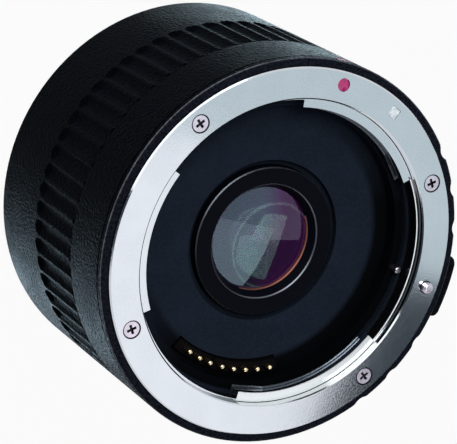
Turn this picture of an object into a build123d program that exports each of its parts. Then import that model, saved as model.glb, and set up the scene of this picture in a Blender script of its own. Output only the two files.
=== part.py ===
from build123d import *
import math
import os

# Camera teleconverter. The origin is the centre of the rear flange plane, +Z runs along the
# optical axis towards the lens side, +Y points to the red index and +X to the release slide.
# Lengths are in millimetres and angles in degrees about the optical axis, from +X.

# Overall sizes
flange_to_flange = 43.5
barrel_wall = 1.6
seam_depth = 12.4
seam_gap = 0.4
seam_edge = 0.03
rear_flange_proud = 1.2
overrun = 1.0

# Clearances
slack = 0.1
seat_gap = 0.05
slide_gap = 0.06

# Front bayonet ring
throat_r = 27.0
ring_w = 5.5
ring_t = 1.8
tab_depth = 1.4
tab_reach = 1.7
tab_t = 1.6
ledge = 0.4
skirt_w = 1.2
skirt_depth = 3.9
ring_bevel = 0.25
tab_spans = ((41.0, 102.0), (159.6, 214.5), (272.0, 334.3))

# Screws in both bayonet rings
screw_inset = 2.8
screw_angle = 37.0
mount_head_r = 1.4
mount_head_rim = 0.3
mount_shank_r = 0.85
front_screw_l = 11.4
rear_screw_l = 5.2
mount_sink = 0.12
cross_l_share = 0.62
cross_w_share = 0.17
cross_depth = 0.55

# Index marks
index_inset = 3.25
red_dot_r = 1.12
dot_t = 0.6
dot_dome = 0.16
white_square = 1.8
white_angle = 67.8
mark_r = 1.25
mark_depth = 3.1
rear_mark_angle = 30.0
rear_mark_z = 4.4

# Leaf spring behind the front tabs
leaf_t = 0.3
leaf_reach = 2.1
leaf_rise = 0.7
leaf_foot_angle = 7.0
leaf_riser_angle = 6.0
leaf_end_angle = 3.0
leaf_slot = 0.35

# Rotation stop pin
stop_r = 0.6
stop_reach = 1.5
stop_angle = 2.5
stop_tip_depth = 3.1

# Lock pin and release slide
lock_inset = 2.83
lock_r = 0.98
lock_proud = 1.2
lock_hole_gap = 0.18
release_travel = 2.0
arm_reach_in = 1.43
arm_sunk = 0.4
arm_half_w = 3.2
arm_top_depth = 5.1
arm_t = 2.8
pocket_gap = 0.3
release_spring_r = 1.7
release_spring_hole_r = 1.15
release_spring_l = 3.6
stem_half_w = 2.6
stem_t = 2.0
knob_angle = 17.8
knob_proud = 2.65
knob_front_depth = 2.5
knob_l = 7.5
knob_round = 1.4
knob_edge = 0.4
knob_grooves = 4
knob_groove_w = 0.5
knob_groove_depth = 0.35
arm_screw_y = 1.9
arm_screw_r = 0.5
arm_screw_head_r = 0.9
arm_screw_head_t = 0.7
arm_screw_reach = 2.4

# Front barrel and its collar
collar_w = 1.5
collar_drop = 0.5
collar_t = 1.0
collar_round = 0.35
collar_groove_w = 0.35
collar_groove_depth = 0.3
lip_t = 0.8
lip_w = 1.0
thumb_flute_angles = (-41.8, -29.5, -17.3, 19.5, 31.7, 44.0)
thumb_flute_w = 3.2
thumb_flute_depth = 0.65

# Rear barrel and its grip flutes
flute_count = 64
flute_l = 15.2
flute_depth = 0.7
ridge_w = 0.35
ridge_round = 0.55
ridge_crease_angle = 18.0
rear_round = 0.5

# Chassis
chassis_wall = 2.0
web_t = 3.3
web_hole_gap = 0.15
throat_liner_reach = 0.85
rear_seat_ledge = 1.0
rear_seat_l = 4.0

# Front baffle
floor_depth = 8.0
floor_t = 1.2
floor_hole_gap = 1.15
liner_w = 1.5
liner_depth = 5.2

# Front retaining ring and lens cell
nose_depth = 7.5
nose_wall = 1.25
mouth_flare = 1.15
glass_aperture_lap = 1.45
nose_thread_wall = 1.35
nose_skirt_l = 3.6
nose_bevel = 0.2
cell_wall = 2.2
cell_flange_gap = 1.3
cell_flange_t = 2.0
cell_end_z = 3.0
cell_screw_angles = (30.0, 150.0, 270.0)

# Glass, from the front: edge radii, centre thicknesses, air gaps and surface radii.
# A positive surface radius bulges outwards and a negative one is hollow.
glass_front_depth = 8.6
front_glass_share = 0.3926
middle_glass_step = 0.8
fourth_glass_step = 0.8
rear_glass_step = 1.0
glass_1_t = 4.0
glass_2_t = 1.2
glass_3_t = 1.1
glass_4_t = 5.9
glass_5_t = 1.3
glass_6_t = 1.2
glass_7_t = 3.9
rim_2_3 = 0.746
air_3_4 = 1.1
air_5_6 = 7.1
air_6_7 = 0.3
curve_1 = 45.0
curve_1_2 = 38.0
curve_2 = -34.0
curve_3_front = -42.0
curve_3_back = -30.0
curve_4 = 26.0
curve_4_5 = 30.0
curve_5 = 60.0
curve_6_front = -30.0
curve_6_back = 90.0
curve_7_front = 70.0
curve_7_back = 55.0
glass_seat_w = 1.0
cell_shoulder_lap = 1.2
rear_ring_w = 1.2
rear_ring_l = 1.85
spanner_slot_w = 1.4
spanner_slot_depth = 0.8

# Front contacts
contact_reach = 4.25
contact_first_angle = 249.0
contact_pitch_angle = 6.0
contact_group_angle = 0.5
contact_left_count = 3
contact_count = 8
contact_tip_depth = 5.5
contact_travel = 1.0
contact_r = 0.5
contact_collar_r = 0.76
contact_collar_t = 0.8
contact_spring_l = 3.2
contact_spring_wall = 0.3
block_w = 2.0
block_start_angle = 244.0
block_end_angle = 296.0
block_window_gap = 0.25
block_left_depth = 7.6
block_right_depth = 7.1
block_foot_w = 4.5
block_foot_t = 4.2
block_ear_angle = 8.0
block_screw_inset_angle = 3.2
cover_t = 0.8

# Flexible circuits, board and chip
flex_t = 0.2
front_flex_angle = 16.0
rear_flex_angle = 12.0
rear_flex_inset = 0.4
board_cell_gap = 1.2
board_wall_gap = 3.3
board_t = 0.8
board_z = 20.0
board_start_angle = 155.0
board_end_angle = 385.0
boss_r = 1.9
boss_inset = 6.3
boss_angles = (175.0, 225.0, 315.0, 365.0)
chip_w = 7.0
chip_t = 1.2
chip_angle = 200.0

# Small inside screws
inside_head_r = 1.5
inside_head_t = 0.9
inside_shank_r = 0.8
inside_bite = 2.2

# Rear bayonet and its contacts
rear_flange_step = 0.3
rear_flange_t = 1.6
spigot_step = 2.0
spigot_wall = 0.9
spigot_nose_step = 0.3
spigot_l = 6.4
lug_reach = 1.4
lug_front_depth = 3.1
lug_t = 1.3
lug_start_angle = 2.5
lug_end_angle = 3.0
spigot_bevel = 0.3
rear_screw_angles = (45.0, 135.0, 225.0, 315.0)
rear_screw_inset = 3.9
rear_baffle_margin = 0.6
rear_baffle_wall = 0.8
rear_baffle_depth = 1.6
rear_baffle_t = 1.0
rear_baffle_rim_t = 0.8
rear_baffle_ledge = 0.8
rear_liner_short = 0.4
rear_block_w = 2.7
rear_block_short = 0.2
rear_block_foot_reach = 2.6
rear_block_foot_t = 1.4
pad_inset = 1.35
pad_w = 1.5
pad_l = 1.5
pad_t = 0.5
pad_proud = 0.05

# Levels along the axis
z_front = flange_to_flange
z_ring_back = z_front - ring_t
z_tab_front = z_front - tab_depth
z_tab_back = z_tab_front - tab_t
z_skirt = z_front - skirt_depth
z_shelf = z_skirt - leaf_t
z_seam = z_front - seam_depth
z_floor = z_front - floor_depth
z_web = z_floor - floor_t
z_web_back = z_web - web_t
z_rear_lip = rear_flange_t
z_rear_seat = rear_flange_t
z_nose = z_front - nose_depth
z_contact_tip = z_front - contact_tip_depth
z_arm_top = z_front - arm_top_depth
z_arm = z_arm_top - arm_t
z_pocket = z_arm - release_spring_l
z_block_foot = z_web_back - block_foot_t

# Radii that follow from the front ring's throat outwards
ring_r = throat_r + ring_w
skirt_r = throat_r + skirt_w
tab_r = throat_r - tab_reach
screw_circle_r = throat_r + screw_inset
index_circle_r = throat_r + index_inset
lock_circle_r = throat_r + lock_inset
barrel_r = ring_r + collar_w
barrel_in_r = barrel_r - barrel_wall
lip_in_r = barrel_in_r - lip_w
chassis_r = barrel_in_r - slack
chassis_in_r = chassis_r - chassis_wall
arm_in = lock_circle_r - arm_reach_in
arm_out = chassis_r - arm_sunk
knob_out = barrel_r + knob_proud

# Radii that follow from the throat inwards
throat_liner_r = throat_r - throat_liner_reach
leaf_r = throat_r - leaf_reach
stop_circle_r = throat_r - stop_reach
contact_circle_r = throat_r - contact_reach

# Radii that follow from the front glass outwards
front_glass_r = throat_r * front_glass_share
middle_glass_r = front_glass_r + middle_glass_step
fourth_glass_r = middle_glass_r + fourth_glass_step
rear_glass_r = fourth_glass_r + rear_glass_step
glass_aperture_r = front_glass_r - glass_aperture_lap
cell_shoulder_r = front_glass_r - cell_shoulder_lap
mouth_r = glass_aperture_r + mouth_flare
nose_thread_r = front_glass_r + nose_thread_wall
nose_r = nose_thread_r + nose_wall
web_hole_r = nose_r + web_hole_gap
floor_hole_r = nose_r + floor_hole_gap
cell_r = rear_glass_r + cell_wall
cell_flange_r = contact_circle_r - block_foot_w / 2 - cell_flange_gap
cell_screw_circle_r = (cell_r + cell_flange_r) / 2

# Radii that follow at the rear and on the board
spigot_r = throat_r - spigot_step
spigot_nose_r = spigot_r - spigot_nose_step
spigot_in_r = spigot_r - spigot_wall
rear_flange_r = ring_r - rear_flange_step
rear_seat_r = spigot_r + rear_seat_ledge
lug_r = spigot_r + lug_reach
rear_screw_circle_r = spigot_r + rear_screw_inset
rear_baffle_r = rear_glass_r + rear_baffle_margin
rear_block_foot_r = spigot_r + rear_block_foot_reach
rear_pad_circle_r = spigot_in_r - pad_inset
rear_flex_r = spigot_r + rear_flex_inset
board_in_r = cell_r + board_cell_gap
board_out_r = chassis_in_r - board_wall_gap
boss_circle_r = chassis_in_r - boss_inset
chip_circle_r = (board_in_r + board_out_r) / 2
contact_bore_r = contact_r + seat_gap
contact_spring_bore_r = contact_collar_r + slide_gap
screw_angles = (screw_angle, 180 - screw_angle, 180 + screw_angle, 360 - screw_angle)


def disc(radius, low, high):
    """Solid cylinder on the optical axis."""
    return Pos(0, 0, low) * extrude(Circle(radius), high - low)


def tube(outer, inner, low, high):
    """Hollow cylinder on the optical axis."""
    return Pos(0, 0, low) * extrude(Circle(outer) - Circle(inner), high - low)


def turned(*points, arc=360):
    """An outline of (radius, height) points turned about the optical axis."""
    return revolve(Plane.XZ * make_face(Polyline(*points, close=True)), Axis.Z, arc)


def sector(outer, inner, start, end, low, high):
    """Part of a hollow cylinder between two angles."""
    section = turned((inner, low), (outer, low), (outer, high), (inner, high), arc=end - start)
    return Rot(0, 0, start) * section


def block(x_low, x_high, half_w, low, high):
    """A box beside the axis, centred on the +X half plane."""
    return Pos((x_low + x_high) / 2, 0, (low + high) / 2) * Box(x_high - x_low, 2 * half_w, high - low)


def at(radius, angle, height=0):
    """Place at a radius, an angle and a height, with local X pointing outwards."""
    return Rot(0, 0, angle) * Pos(radius, 0, height)


def group(solids):
    """Several separate solids kept as one node."""
    return Compound(children=[solid.solid() for solid in solids])


def cross_recess(head_r):
    """The cross that a driver turns, cut from a head face at height zero."""
    length = 2 * head_r * cross_l_share
    width = 2 * head_r * cross_w_share
    bar = Pos(0, 0, -cross_depth / 2) * Box(length, width, cross_depth)
    return bar + Rot(0, 0, 90) * bar


def countersunk_screw(length):
    """Bayonet ring screw, head face at height zero and shank along -Z."""
    cone_end = -(mount_head_rim + mount_head_r - mount_shank_r)
    body = turned((0, 0), (mount_head_r, 0), (mount_head_r, -mount_head_rim), (mount_shank_r, cone_end),
                  (mount_shank_r, -length), (0, -length))
    return body - cross_recess(mount_head_r)


def countersunk_hole(length):
    """Clearance for a bayonet ring screw sunk below the face at height zero."""
    wide = mount_head_r + slack
    narrow = mount_shank_r + slack
    rim_end = -(mount_sink + mount_head_rim)
    return turned((0, overrun), (wide, overrun), (wide, rim_end), (narrow, rim_end - wide + narrow),
                  (narrow, -length - overrun), (0, -length - overrun))


def thread_hole(radius, depth):
    """Blind hole for a shank, mouth at height zero and running along -Z."""
    return disc(radius, -depth, overrun)


def inside_screw(length):
    """Small pan-head screw, head seat at height zero, shank along +Z."""
    body = disc(inside_head_r, -inside_head_t, 0) + disc(inside_shank_r, 0, length)
    recess = Pos(0, 0, -inside_head_t) * Rot(180, 0, 0) * cross_recess(inside_head_r)
    return body - recess


def contact_angles():
    """Angles of the contacts, in a left and a right group."""
    steps = range(contact_count)
    even = [contact_first_angle + i * contact_pitch_angle for i in steps]
    return even[:contact_left_count] + [angle + contact_group_angle for angle in even[contact_left_count:]]


def sag(curve, radius):
    """How far a surface of a given curve falls from its vertex at a radius."""
    return math.copysign(abs(curve) - math.sqrt(curve**2 - radius**2), curve)


def air_between(rim, back_curve, front_curve):
    """Gap on the axis between two front elements that leaves a given gap at their rims."""
    return rim - sag(back_curve, front_glass_r) - sag(front_curve, front_glass_r)


def glass_stack():
    """Each element as (edge radius, front vertex, back vertex, front curve, back curve)."""
    rows = (
        (front_glass_r, glass_1_t, curve_1, curve_1_2, 0),
        (front_glass_r, glass_2_t, -curve_1_2, curve_2, air_between(rim_2_3, curve_2, curve_3_front)),
        (front_glass_r, glass_3_t, curve_3_front, curve_3_back, air_3_4),
        (middle_glass_r, glass_4_t, curve_4, curve_4_5, 0),
        (middle_glass_r, glass_5_t, -curve_4_5, curve_5, air_5_6),
        (fourth_glass_r, glass_6_t, curve_6_front, curve_6_back, air_6_7),
        (rear_glass_r, glass_7_t, curve_7_front, curve_7_back, 0),
    )
    height = z_front - glass_front_depth
    stack = []
    for radius, thick, front_curve, back_curve, air in rows:
        stack.append((radius, height, height - thick, front_curve, back_curve))
        height -= thick + air
    return stack


def front_height(number, radius):
    """Height of an element's front surface at a radius."""
    _, vertex, _, curve, _ = glass_stack()[number - 1]
    return vertex - sag(curve, radius)


def back_height(number, radius):
    """Height of an element's back surface at a radius."""
    _, _, vertex, _, curve = glass_stack()[number - 1]
    return vertex + sag(curve, radius)


def lens_element(number):
    """One glass element, turned from two spherical surfaces and a ground edge."""
    radius, front, back, _, _ = glass_stack()[number - 1]
    half = radius / 2
    front_edge = (radius, front_height(number, radius))
    back_edge = (radius, back_height(number, radius))
    front_arc = ThreePointArc((0, front), (half, front_height(number, half)), front_edge)
    back_arc = ThreePointArc(back_edge, (half, back_height(number, half)), (0, back))
    outline = Wire([front_arc.edge(), Line(front_edge, back_edge).edge(),
                    back_arc.edge(), Line((0, back), (0, front)).edge()])
    return revolve(Plane.XZ * make_face(outline), Axis.Z)


def front_mount_ring():
    """Bayonet ring: flange, skirt and three inner tabs."""
    under_r = throat_r - ledge
    ring = turned((throat_r + ring_bevel, z_front), (ring_r - ring_bevel, z_front),
                  (ring_r, z_front - ring_bevel), (ring_r, z_ring_back), (skirt_r, z_ring_back),
                  (skirt_r, z_skirt), (under_r, z_skirt),
                  (under_r, z_tab_front), (throat_r, z_tab_front), (throat_r, z_front - ring_bevel))
    for start, end in tab_spans:
        ring += sector(under_r + slack, tab_r, start, end, z_tab_back, z_tab_front)
    for angle in screw_angles:
        ring -= at(screw_circle_r, angle, z_front) * countersunk_hole(front_screw_l)
    ring -= at(lock_circle_r, 0) * disc(lock_r + lock_hole_gap, z_ring_back - overrun, z_front + overrun)
    ring -= at(index_circle_r, 90) * disc(red_dot_r + seat_gap, z_front - dot_t, z_front + overrun)
    ring -= at(index_circle_r, white_angle, z_front) * square_pocket()
    return ring


def square_pocket():
    """Recess for the square index, mouth at height zero."""
    side = white_square + 2 * seat_gap
    height = dot_t + overrun
    return Pos(0, 0, (overrun - dot_t) / 2) * Box(side, side, height)


def red_index_dot():
    """Domed round inlay in the front ring, its crown just under the face."""
    crown = z_front - seat_gap
    edge = crown - dot_dome
    dome_r = (red_dot_r**2 + dot_dome**2) / (2 * dot_dome)
    half = red_dot_r / 2
    half_height = crown - sag(dome_r, half)
    floor = z_front - dot_t
    arc = ThreePointArc((0, crown), (half, half_height), (red_dot_r, edge))
    rest = Polyline((red_dot_r, edge), (red_dot_r, floor), (0, floor), (0, crown))
    outline = Wire([arc.edge()] + list(rest.edges()))
    return at(index_circle_r, 90) * revolve(Plane.XZ * make_face(outline), Axis.Z)


def white_index_square():
    """Square inlay in the front ring."""
    thick = dot_t - seat_gap
    place = at(index_circle_r, white_angle, z_front - dot_t + thick / 2)
    return place * Box(white_square, white_square, thick)


def front_mount_screws():
    """Four countersunk screws through the front ring and the spacer into the chassis."""
    screw = countersunk_screw(front_screw_l)
    return group([at(screw_circle_r, angle, z_front - mount_sink) * screw for angle in screw_angles])


def leaf_section(angle, low):
    """The cross-section of a spring arm at an angle."""
    outer = throat_r - ledge - leaf_slot
    high = low + leaf_t
    outline = Polyline((leaf_r, low), (outer, low), (outer, high), (leaf_r, high), close=True)
    face = Plane.XZ * make_face(outline)
    return Rot(0, 0, angle) * face


def mount_leaf_spring():
    """Flat ring clamped under the front ring, with an arm raised behind each tab."""
    arm_out_r = throat_r - ledge - leaf_slot
    z_arm_low = z_shelf + leaf_rise
    spring = tube(skirt_r, throat_r - ledge, z_shelf, z_skirt)
    for start, end in tab_spans:
        foot_end = start + leaf_foot_angle
        arm_start = foot_end + leaf_riser_angle
        spring += sector(skirt_r - slack, leaf_r, start, foot_end, z_shelf, z_skirt)
        spring += loft([leaf_section(foot_end, z_shelf), leaf_section(arm_start, z_arm_low)], ruled=True)
        spring += sector(arm_out_r, leaf_r, arm_start, end - leaf_end_angle, z_arm_low, z_arm_low + leaf_t)
    return spring


def rotation_stop_pin():
    """Steel dowel pressed into the chassis web, its tip in the way of a lens lug."""
    tip = z_front - stop_tip_depth
    pin = disc(stop_r, z_web - floor_t, tip)
    pin = chamfer(pin.edges().group_by(Axis.Z)[-1], stop_r / 4)
    return at(stop_circle_r, stop_angle) * pin


def lock_pin():
    """Sprung pin with a domed tip, pressed into the release arm."""
    pin = disc(lock_r, z_arm, z_front + lock_proud)
    pin = fillet(pin.edges().group_by(Axis.Z)[-1], lock_r / 2)
    return at(lock_circle_r, 0) * pin


def release_arm():
    """Slider inside the chassis pocket that joins the lock pin to the knob."""
    arm = block(arm_in, arm_out, arm_half_w, z_arm, z_arm_top)
    arm -= at(lock_circle_r, 0) * disc(lock_r, z_arm - overrun, z_arm_top + overrun)
    for place in arm_screw_places():
        arm -= place * disc(arm_screw_r, -overrun, arm_out - arm_in + overrun)
        arm -= place * disc(arm_screw_head_r + seat_gap, -overrun, arm_screw_head_t)
    return arm


def arm_screw_places():
    """Places of the two screws from the arm into the knob, local Z pointing outwards."""
    height = (z_arm + z_arm_top) / 2
    return [Pos(arm_in, side * arm_screw_y, height) * Rot(0, 90, 0) for side in (-1, 1)]


def release_arm_screws():
    """Two screws that fasten the knob's stem to the arm."""
    reach = arm_out - arm_in + arm_screw_reach
    screw = disc(arm_screw_head_r, 0, arm_screw_head_t) + disc(arm_screw_r, 0, reach)
    slot = Pos(0, 0, 0) * Box(arm_screw_head_r, arm_screw_r / 2, arm_screw_head_t)
    return group([place * (screw - slot) for place in arm_screw_places()])


def release_knob():
    """Thumb slide outside the barrel, with a stem through the barrel's slot."""
    top = z_front - knob_front_depth
    low = top - knob_l
    inner = barrel_r + slack + seat_gap
    shell = sector(knob_out, inner, -knob_angle / 2, knob_angle / 2, low, top)
    corners = shell.edges().filter_by(GeomType.LINE).filter_by(lambda e: abs(e.tangent_at(0).Z) < 0.5)
    shell = fillet(corners, knob_round)
    rim = shell.faces().filter_by(GeomType.CYLINDER).sort_by(SortBy.AREA)[-1].edges()
    shell = fillet(rim, knob_edge)
    pitch = knob_l / (knob_grooves + 1)
    for i in range(knob_grooves):
        middle = low + (i + 1) * pitch
        cut = sector(knob_out + overrun, knob_out - knob_groove_depth, -knob_angle / 3, knob_angle / 3,
                     middle - knob_groove_w / 2, middle + knob_groove_w / 2)
        shell -= cut
    z_stem = (z_arm + z_arm_top) / 2
    knob = shell + block(arm_out, inner + seat_gap, stem_half_w, z_stem - stem_t / 2, z_stem + stem_t / 2)
    for place in arm_screw_places():
        knob -= place * disc(arm_screw_r, 0, arm_out - arm_in + arm_screw_reach)
    return knob


def release_spring():
    """Compression spring under the arm, as a plain sleeve of its outer form."""
    return at(lock_circle_r, 0) * tube(release_spring_r, release_spring_hole_r, z_pocket, z_arm)


def stem_slot():
    """The slot in the barrel that the knob's stem slides in."""
    z_stem = (z_arm + z_arm_top) / 2
    low = z_stem - stem_t / 2 - release_travel - pocket_gap
    return block(arm_out, barrel_r + overrun, stem_half_w + pocket_gap, low, z_stem + stem_t / 2 + pocket_gap)


def front_barrel():
    """Front ring of the barrel, with its collar, thumb flutes and the release slot."""
    z_collar = z_front - collar_drop
    z_groove = z_collar - collar_t
    groove_r = barrel_r - collar_groove_depth
    barrel = turned((ring_r + slack, z_ring_back), (ring_r + slack, z_collar),
                    (barrel_r - collar_round, z_collar), (barrel_r, z_collar - collar_round),
                    (barrel_r, z_groove), (groove_r, z_groove),
                    (groove_r, z_groove - collar_groove_w), (barrel_r, z_groove - collar_groove_w),
                    (barrel_r, z_seam + seam_edge), (barrel_r - seam_edge, z_seam), (barrel_in_r, z_seam),
                    (barrel_in_r, z_ring_back - lip_t), (lip_in_r, z_ring_back - lip_t),
                    (lip_in_r, z_ring_back))
    barrel -= thumb_flutes()
    barrel -= stem_slot()
    barrel -= mark_pocket(90, z_front - mark_depth)
    return barrel


def flute_radius(width, depth):
    """Radius of a round cutter that leaves a flute of a given width and depth."""
    return width**2 / (8 * depth) + depth / 2


def thumb_flutes():
    """Cutters for the shallow flutes on both sides of the knob."""
    radius = flute_radius(thumb_flute_w, thumb_flute_depth)
    centre = barrel_r - thumb_flute_depth + radius
    cutter = disc(radius, z_seam - overrun, z_front + overrun)
    return [at(centre, angle) * cutter for angle in thumb_flute_angles]


def mark_pocket(angle, height):
    """Round recess in the barrel's side for an index mark."""
    return at(barrel_r - dot_t, angle, height) * Rot(0, 90, 0) * disc(mark_r + seat_gap, 0, dot_t + overrun)


def side_mark(angle, height):
    """Round inlay in the barrel's side, its face a little under the barrel's surface."""
    return at(barrel_r - dot_t, angle, height) * Rot(0, 90, 0) * disc(mark_r, 0, dot_t - seat_gap)


def barrel_index_marks():
    """Two round inlays, one in each barrel."""
    return group([side_mark(90, z_front - mark_depth), side_mark(rear_mark_angle, rear_mark_z)])


def rear_barrel():
    """Main barrel with the grip flutes and the smooth rear band."""
    low = rear_flange_proud
    high = z_seam - seam_gap
    mouth_r = rear_flange_r + slack
    barrel = turned((mouth_r, low), (barrel_r - rear_round, low), (barrel_r, low + rear_round),
                    (barrel_r, high - seam_edge), (barrel_r - seam_edge, high), (barrel_in_r, high),
                    (barrel_in_r, z_rear_lip + lip_t), (lip_in_r, z_rear_lip + lip_t), (lip_in_r, z_rear_lip),
                    (mouth_r, z_rear_lip))
    barrel -= grip_flutes(high)
    barrel -= mark_pocket(rear_mark_angle, rear_mark_z)
    return barrel


def flute_half():
    """Half of a flute's cross-section, with its edge rounded over towards the ridge."""
    half_angle = math.radians(180 / flute_count) - ridge_w / (2 * barrel_r)
    lean = half_angle - math.radians(ridge_crease_angle)
    lip = Vector(barrel_r * math.cos(half_angle), barrel_r * math.sin(half_angle))
    centre = lip - ridge_round * Vector(math.cos(lean), math.sin(lean))
    drop = barrel_r - flute_depth - centre.X
    floor_r = (drop**2 + centre.Y**2 - ridge_round**2) / (2 * (ridge_round - drop))
    middle = Vector(barrel_r - flute_depth + floor_r, 0)
    join = centre + ridge_round * (middle - centre).normalized()
    floor = Vector(barrel_r - flute_depth, 0)
    floor_arc = ThreePointArc(floor, middle + floor_r * ((floor + join) / 2 - middle).normalized(), join)
    edge_arc = ThreePointArc(join, centre + ridge_round * ((join + lip) / 2 - centre).normalized(), lip)
    rest = Polyline(lip, Vector(barrel_r + overrun, lip.Y), Vector(barrel_r + overrun, 0), floor)
    return make_face(Wire([floor_arc.edge(), edge_arc.edge()] + list(rest.edges())))


def grip_flutes(high):
    """Round-ended cutters for the flutes around the barrel, open at the seam."""
    half = flute_half()
    z_end = z_seam - flute_l + math.pi * barrel_r / flute_count
    straight = Pos(0, 0, z_end) * extrude(half + mirror(half, Plane.XZ), high + overrun - z_end)
    end = Pos(0, 0, z_end) * revolve(half, Axis.X, -180)
    cutter = straight + end
    return [Rot(0, 0, 360 * i / flute_count) * cutter for i in range(flute_count)]


def inner_frame():
    """Whole inner frame, before it parts at the web's front face."""
    frame = turned((skirt_r + slack, z_ring_back), (lip_in_r - slack, z_ring_back),
                   (lip_in_r - slack, z_ring_back - lip_t), (chassis_r, z_ring_back - lip_t),
                   (chassis_r, z_rear_lip + lip_t), (lip_in_r - slack, z_rear_lip + lip_t),
                   (lip_in_r - slack, z_rear_seat), (rear_seat_r, z_rear_seat),
                   (rear_seat_r, z_rear_seat + rear_seat_l), (chassis_in_r, z_rear_seat + rear_seat_l),
                   (chassis_in_r, z_web_back), (web_hole_r, z_web_back), (web_hole_r, z_web),
                   (throat_liner_r, z_web), (throat_liner_r, z_shelf), (skirt_r + slack, z_shelf))
    for angle in boss_angles:
        boss = at(boss_circle_r, angle) * disc(boss_r, board_z + board_t, z_web_back)
        place = at(boss_circle_r, angle, board_z + board_t) * Rot(180, 0, 0)
        frame = frame + boss - place * thread_hole(inside_shank_r, inside_bite)
    for angle in screw_angles:
        hole = thread_hole(mount_shank_r, mount_sink + front_screw_l - ring_t + slack)
        frame -= at(screw_circle_r, angle, z_ring_back) * hole
    for angle in rear_screw_angles:
        hole = thread_hole(mount_shank_r, mount_sink + rear_screw_l - rear_flange_t + slack)
        frame -= at(rear_screw_circle_r, angle, z_rear_seat) * Rot(180, 0, 0) * hole
    small_hole = Rot(180, 0, 0) * thread_hole(inside_shank_r, inside_bite)
    for angle in cell_screw_angles:
        frame -= at(cell_screw_circle_r, angle, z_web_back) * small_hole
    for angle in block_screw_angles():
        frame -= at(contact_circle_r, angle, z_web_back) * small_hole
    frame -= contact_window(z_web_back - overrun, z_web + overrun)
    frame -= at(stop_circle_r, stop_angle) * disc(stop_r, z_web - floor_t, z_web + overrun)
    frame -= release_pocket()
    frame -= rear_block_notch()
    return frame


def chassis():
    """Moulded inner frame: outer wall, web, bosses and rear seat."""
    return inner_frame() & disc(chassis_r + overrun, z_rear_seat - overrun, z_web)


def mount_spacer():
    """Ring on the web that carries the front ring and the leaf spring, clamped by the ring's screws."""
    return inner_frame() & disc(chassis_r + overrun, z_web, z_ring_back + overrun)


def release_pocket():
    """Room in the chassis wall for the arm, its spring and the lock pin."""
    pocket = block(arm_in - pocket_gap, chassis_r + overrun, arm_half_w + pocket_gap, z_pocket,
                   z_arm_top + pocket_gap)
    guide = at(lock_circle_r, 0) * disc(lock_r + slide_gap, z_arm_top, z_ring_back + overrun)
    return pocket + guide


def contact_window(low, high):
    """Curved window round the upper part of the front contact block."""
    grow = block_window_gap
    turn = math.degrees(grow / contact_circle_r)
    return sector(contact_circle_r + block_w / 2 + grow, contact_circle_r - block_w / 2 - grow,
                  block_start_angle - turn, block_end_angle + turn, low, high)


def front_baffle():
    """Matt floor and low wall that line the throat."""
    outer = throat_liner_r - seat_gap
    inner = outer - liner_w
    z_liner = z_front - liner_depth
    cup = turned((floor_hole_r, z_web), (outer, z_web), (outer, z_liner), (inner, z_liner), (inner, z_floor),
                 (floor_hole_r, z_floor))
    cup -= contact_window(z_web - overrun, z_floor + overrun)
    cup -= at(stop_circle_r, stop_angle) * disc(stop_r + seat_gap, z_web - overrun, z_liner + overrun)
    return cup


def front_retaining_ring():
    """Screwed nose ring with a conical mouth that holds the front glass."""
    z_seat = front_height(1, glass_aperture_r) + seat_gap
    low = z_nose - nose_skirt_l
    thread_r = nose_thread_r + seat_gap
    return turned((mouth_r, z_nose), (nose_r - nose_bevel, z_nose), (nose_r, z_nose - nose_bevel),
                  (nose_r, low), (thread_r, low), (thread_r, z_seat), (glass_aperture_r, z_seat),
                  (glass_aperture_r, z_seat + nose_bevel), (mouth_r - nose_bevel, z_nose - nose_bevel))


def lens_cell():
    """Stepped tube that carries all the glass and hangs from the chassis web."""
    top = front_height(1, glass_aperture_r)
    z_skirt_end = z_nose - nose_skirt_l - seat_gap
    front_bore = front_glass_r + seat_gap
    middle_bore = middle_glass_r + seat_gap
    fourth_bore = fourth_glass_r + seat_gap
    rear_bore = rear_glass_r + seat_gap
    z_shoulder = back_height(3, front_glass_r) - seat_gap
    z_shoulder_back = front_height(4, cell_shoulder_r) + seat_gap
    z_middle = back_height(5, middle_glass_r)
    z_fourth = front_height(7, fourth_glass_r - glass_seat_w) + seat_gap
    cell = turned((front_bore, top), (nose_thread_r, top), (nose_thread_r, z_skirt_end),
                  (nose_r, z_skirt_end), (nose_r, z_web_back), (cell_flange_r, z_web_back),
                  (cell_flange_r, cell_flange_low()), (cell_r, cell_flange_low()), (cell_r, cell_end_z),
                  (rear_bore, cell_end_z), (rear_bore, z_fourth), (fourth_bore, z_fourth),
                  (fourth_bore, z_middle), (middle_bore, z_middle),
                  (middle_bore, z_shoulder_back), (cell_shoulder_r, z_shoulder_back),
                  (cell_shoulder_r, z_shoulder), (front_bore, z_shoulder))
    for angle in cell_screw_angles:
        place = at(cell_screw_circle_r, angle)
        cell -= place * disc(inside_shank_r + slack, cell_flange_low() - overrun, z_web_back + overrun)
        cell -= place * disc(inside_head_r + slack, cell_flange_low() - inside_head_t, cell_flange_low())
    return cell


def cell_flange_low():
    """Height of the lens cell flange's rear face."""
    return z_web_back - cell_flange_t


def cell_screws():
    """Three screws that hold the lens cell to the web."""
    screw = inside_screw(cell_flange_t + inside_bite - seat_gap)
    return group([at(cell_screw_circle_r, angle, cell_flange_low()) * screw for angle in cell_screw_angles])


def glass_spacer_1():
    """Ring between the front doublet and the third element."""
    high = back_height(2, front_glass_r) - seat_gap
    low = front_height(3, front_glass_r) + seat_gap
    return tube(front_glass_r, front_glass_r - glass_seat_w, low, high)


def glass_spacer_2():
    """Long ring between the cemented pair and the sixth element."""
    inner = middle_glass_r - glass_seat_w
    high = back_height(5, inner) - seat_gap
    low = front_height(6, fourth_glass_r) + seat_gap
    return tube(fourth_glass_r, inner, low, high)


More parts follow.
